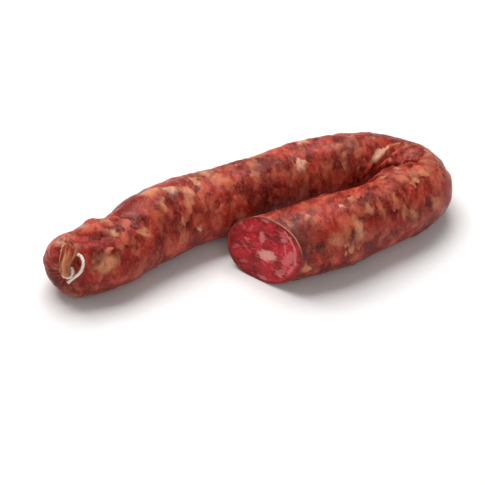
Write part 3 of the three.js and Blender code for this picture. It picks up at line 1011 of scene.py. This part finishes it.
def cordPath():
    winding = casing["neckRadius"] + cord["radius"] + cord["windingGap"]
    foot = cord["foot"] + cord["radius"] + cord["clearance"]
    points = [overEnd(*place) for place in cord["leftEnd"]]
    for turned in np.arange(0, cord["turns"] + 0.01, 1 / 8):
        height = foot + (cord["turns"] - turned) * cord["pitch"]
        way = turnAbout(across, gather, np.array(2 * math.pi * turned))
        points.append(neckBase + gather * height + way * winding)
    points += [overEnd(*place) for place in cord["rightEnd"]]
    points = np.array(points)
    # cubic Hermite through the points, spaced by their distances apart
    knots = lengthsAlong(points)
    slopes = np.gradient(points, knots, axis=0)
    at = np.linspace(0, knots[-1], cord["points"])
    i = np.clip(np.searchsorted(knots, at, side="right") - 1, 0, len(knots) - 2)
    span = (knots[i + 1] - knots[i])[:, None]
    t = (at[:, None] - knots[i][:, None]) / span
    return ((2 * t ** 3 - 3 * t ** 2 + 1) * points[i] + (t ** 3 - 2 * t ** 2 + t) * span * slopes[i]
            + (3 * t ** 2 - 2 * t ** 3) * points[i + 1] + (t ** 3 - t ** 2) * span * slopes[i + 1])


def buildCord():
    # three twisted strands: radius = r (1 + depth cos(3 (angle - 2 pi length / pitch)))
    path = cordPath()
    ways = unit(np.gradient(path, axis=0))
    lengths = lengthsAlong(path)
    frames = [unit(np.cross(ways[0], upWay))]
    for way in ways[1:]:
        frames.append(unit(frames[-1] - way * (frames[-1] @ way)))
    first = np.array(frames)
    second = np.cross(ways, first)
    angles = np.arange(cord["sides"]) * 2 * np.pi / cord["sides"]
    twist = angles - 2 * np.pi * lengths[:, None] / cord["twistPitch"]
    radius = cord["radius"] * (1 + cord["strandDepth"] * np.cos(3 * twist))
    fromEnd = np.minimum(lengths, lengths[-1] - lengths)
    flare = cord["flare"] * np.exp(-(fromEnd / cord["flareReach"]) ** 2)
    radius = radius * (1 + flare)[:, None]
    rings = path[:, None] + (radius * np.cos(angles))[..., None] * first[:, None]
    rings = rings + (radius * np.sin(angles))[..., None] * second[:, None]
    flat = np.stack(np.broadcast_arrays(lengths[:, None], np.cos(twist), np.sin(twist)), -1)
    attributes = {"unrolled": (flat, flat[0, 0], flat[-1, 0])}
    cells = [(0, len(rings) - 1, 0.005, 0.005, 0.99, 0.99)]
    return skinMesh("tieString", rings, attributes, path[0], path[-1], cells)


stage = {
    "floor": "#fbfaf9",
    "world": "#ffffff",
    "worldStrength": 0.26,
    "floorHalfSize": 3.0,       # m
    # place in mm, size in m, power in W
    "lights": {
        "overhead": ((-150, 350, 900), (0.9, 0.7), 11.3),
        "frontFill": ((200, -900, 700), (0.9, 0.9), 1.9),
    },
    "aim": (-4.776, -22.877, 18.0),
    "rise": 43.0,
    "away": 900.0,
    "lens": 133.6,
}


def buildStage():
    h = stage["floorHalfSize"]
    floorMesh = bpy.data.meshes.new("tableTop")
    floorMesh.from_pydata([(-h, -h, 0), (h, -h, 0), (h, h, 0), (-h, h, 0)], [], [(0, 1, 2, 3)])
    floor = bpy.data.objects.new("tableTop", floorMesh)
    bpy.context.scene.collection.objects.link(floor)
    # matt white background paper
    paper = newMaterial("whitePaperSweep", {"Base Color": linear(stage["floor"]), "Roughness": 0.8})
    floor.data.materials.append(paper)
    world = bpy.data.worlds.new("studio")
    bpy.context.scene.world = world
    world.use_nodes = True
    background = world.node_tree.nodes["Background"]
    background.inputs["Color"].default_value = linear(stage["world"])
    background.inputs["Strength"].default_value = stage["worldStrength"]
    return floor


def addLight(name, place, size, power):
    light = bpy.data.lights.new(name, "AREA")
    light.shape = "RECTANGLE"
    light.size, light.size_y = size
    light.energy = power
    lamp = bpy.data.objects.new(name, light)
    bpy.context.scene.collection.objects.link(lamp)
    pointAt(lamp, np.array(place), np.zeros(3))


def pointAt(thing, place, aim):
    thing.location = Vector(place * mm)
    thing.rotation_euler = Vector((aim - place) * mm).to_track_quat("-Z", "Y").to_euler()


def buildCamera():
    aim = np.array(stage["aim"])
    rise = math.radians(stage["rise"])
    place = aim + stage["away"] * np.array([0, -math.cos(rise), math.sin(rise)])
    camera = bpy.data.cameras.new("camera")
    camera.lens = stage["lens"]
    camera.sensor_width = 36.0
    camera.clip_start = 0.01
    eye = bpy.data.objects.new("camera", camera)
    bpy.context.scene.collection.objects.link(eye)
    pointAt(eye, place, aim)
    bpy.context.scene.camera = eye


def boxOf(piece):
    co = np.zeros(len(piece.data.vertices) * 3, np.float32)
    piece.data.vertices.foreach_get("co", co)
    co = co.reshape(-1, 3)
    return co.min(0), co.max(0)


gut = skinMaterial("driedNaturalGut", gutLook)
pork = skinMaterial("curedPorkCutFace", meatLook)
cotton = skinMaterial("cottonString", stringLook)
print("materials made")

gutCasing = buildCasing()
gutCasing.data.materials.append(gut)
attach(gutCasing, "root")
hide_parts("casing")
print("casing made", len(gutCasing.data.polygons), boxOf(gutCasing))

curedMeat = buildMeat()
curedMeat.data.materials.append(pork)
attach(curedMeat, "root")
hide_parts("filling")
print("meat made", len(curedMeat.data.polygons), boxOf(curedMeat))

tieString = buildCord()
tieString.data.materials.append(cotton)
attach(tieString, "root")
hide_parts("tie_string")
print("string made", len(tieString.data.polygons), boxOf(tieString))

floor = buildStage()
for name, settings in stage["lights"].items():
    addLight(name, *settings)
buildCamera()
bpy.context.scene.view_settings.view_transform = "Standard"
print("stage made")
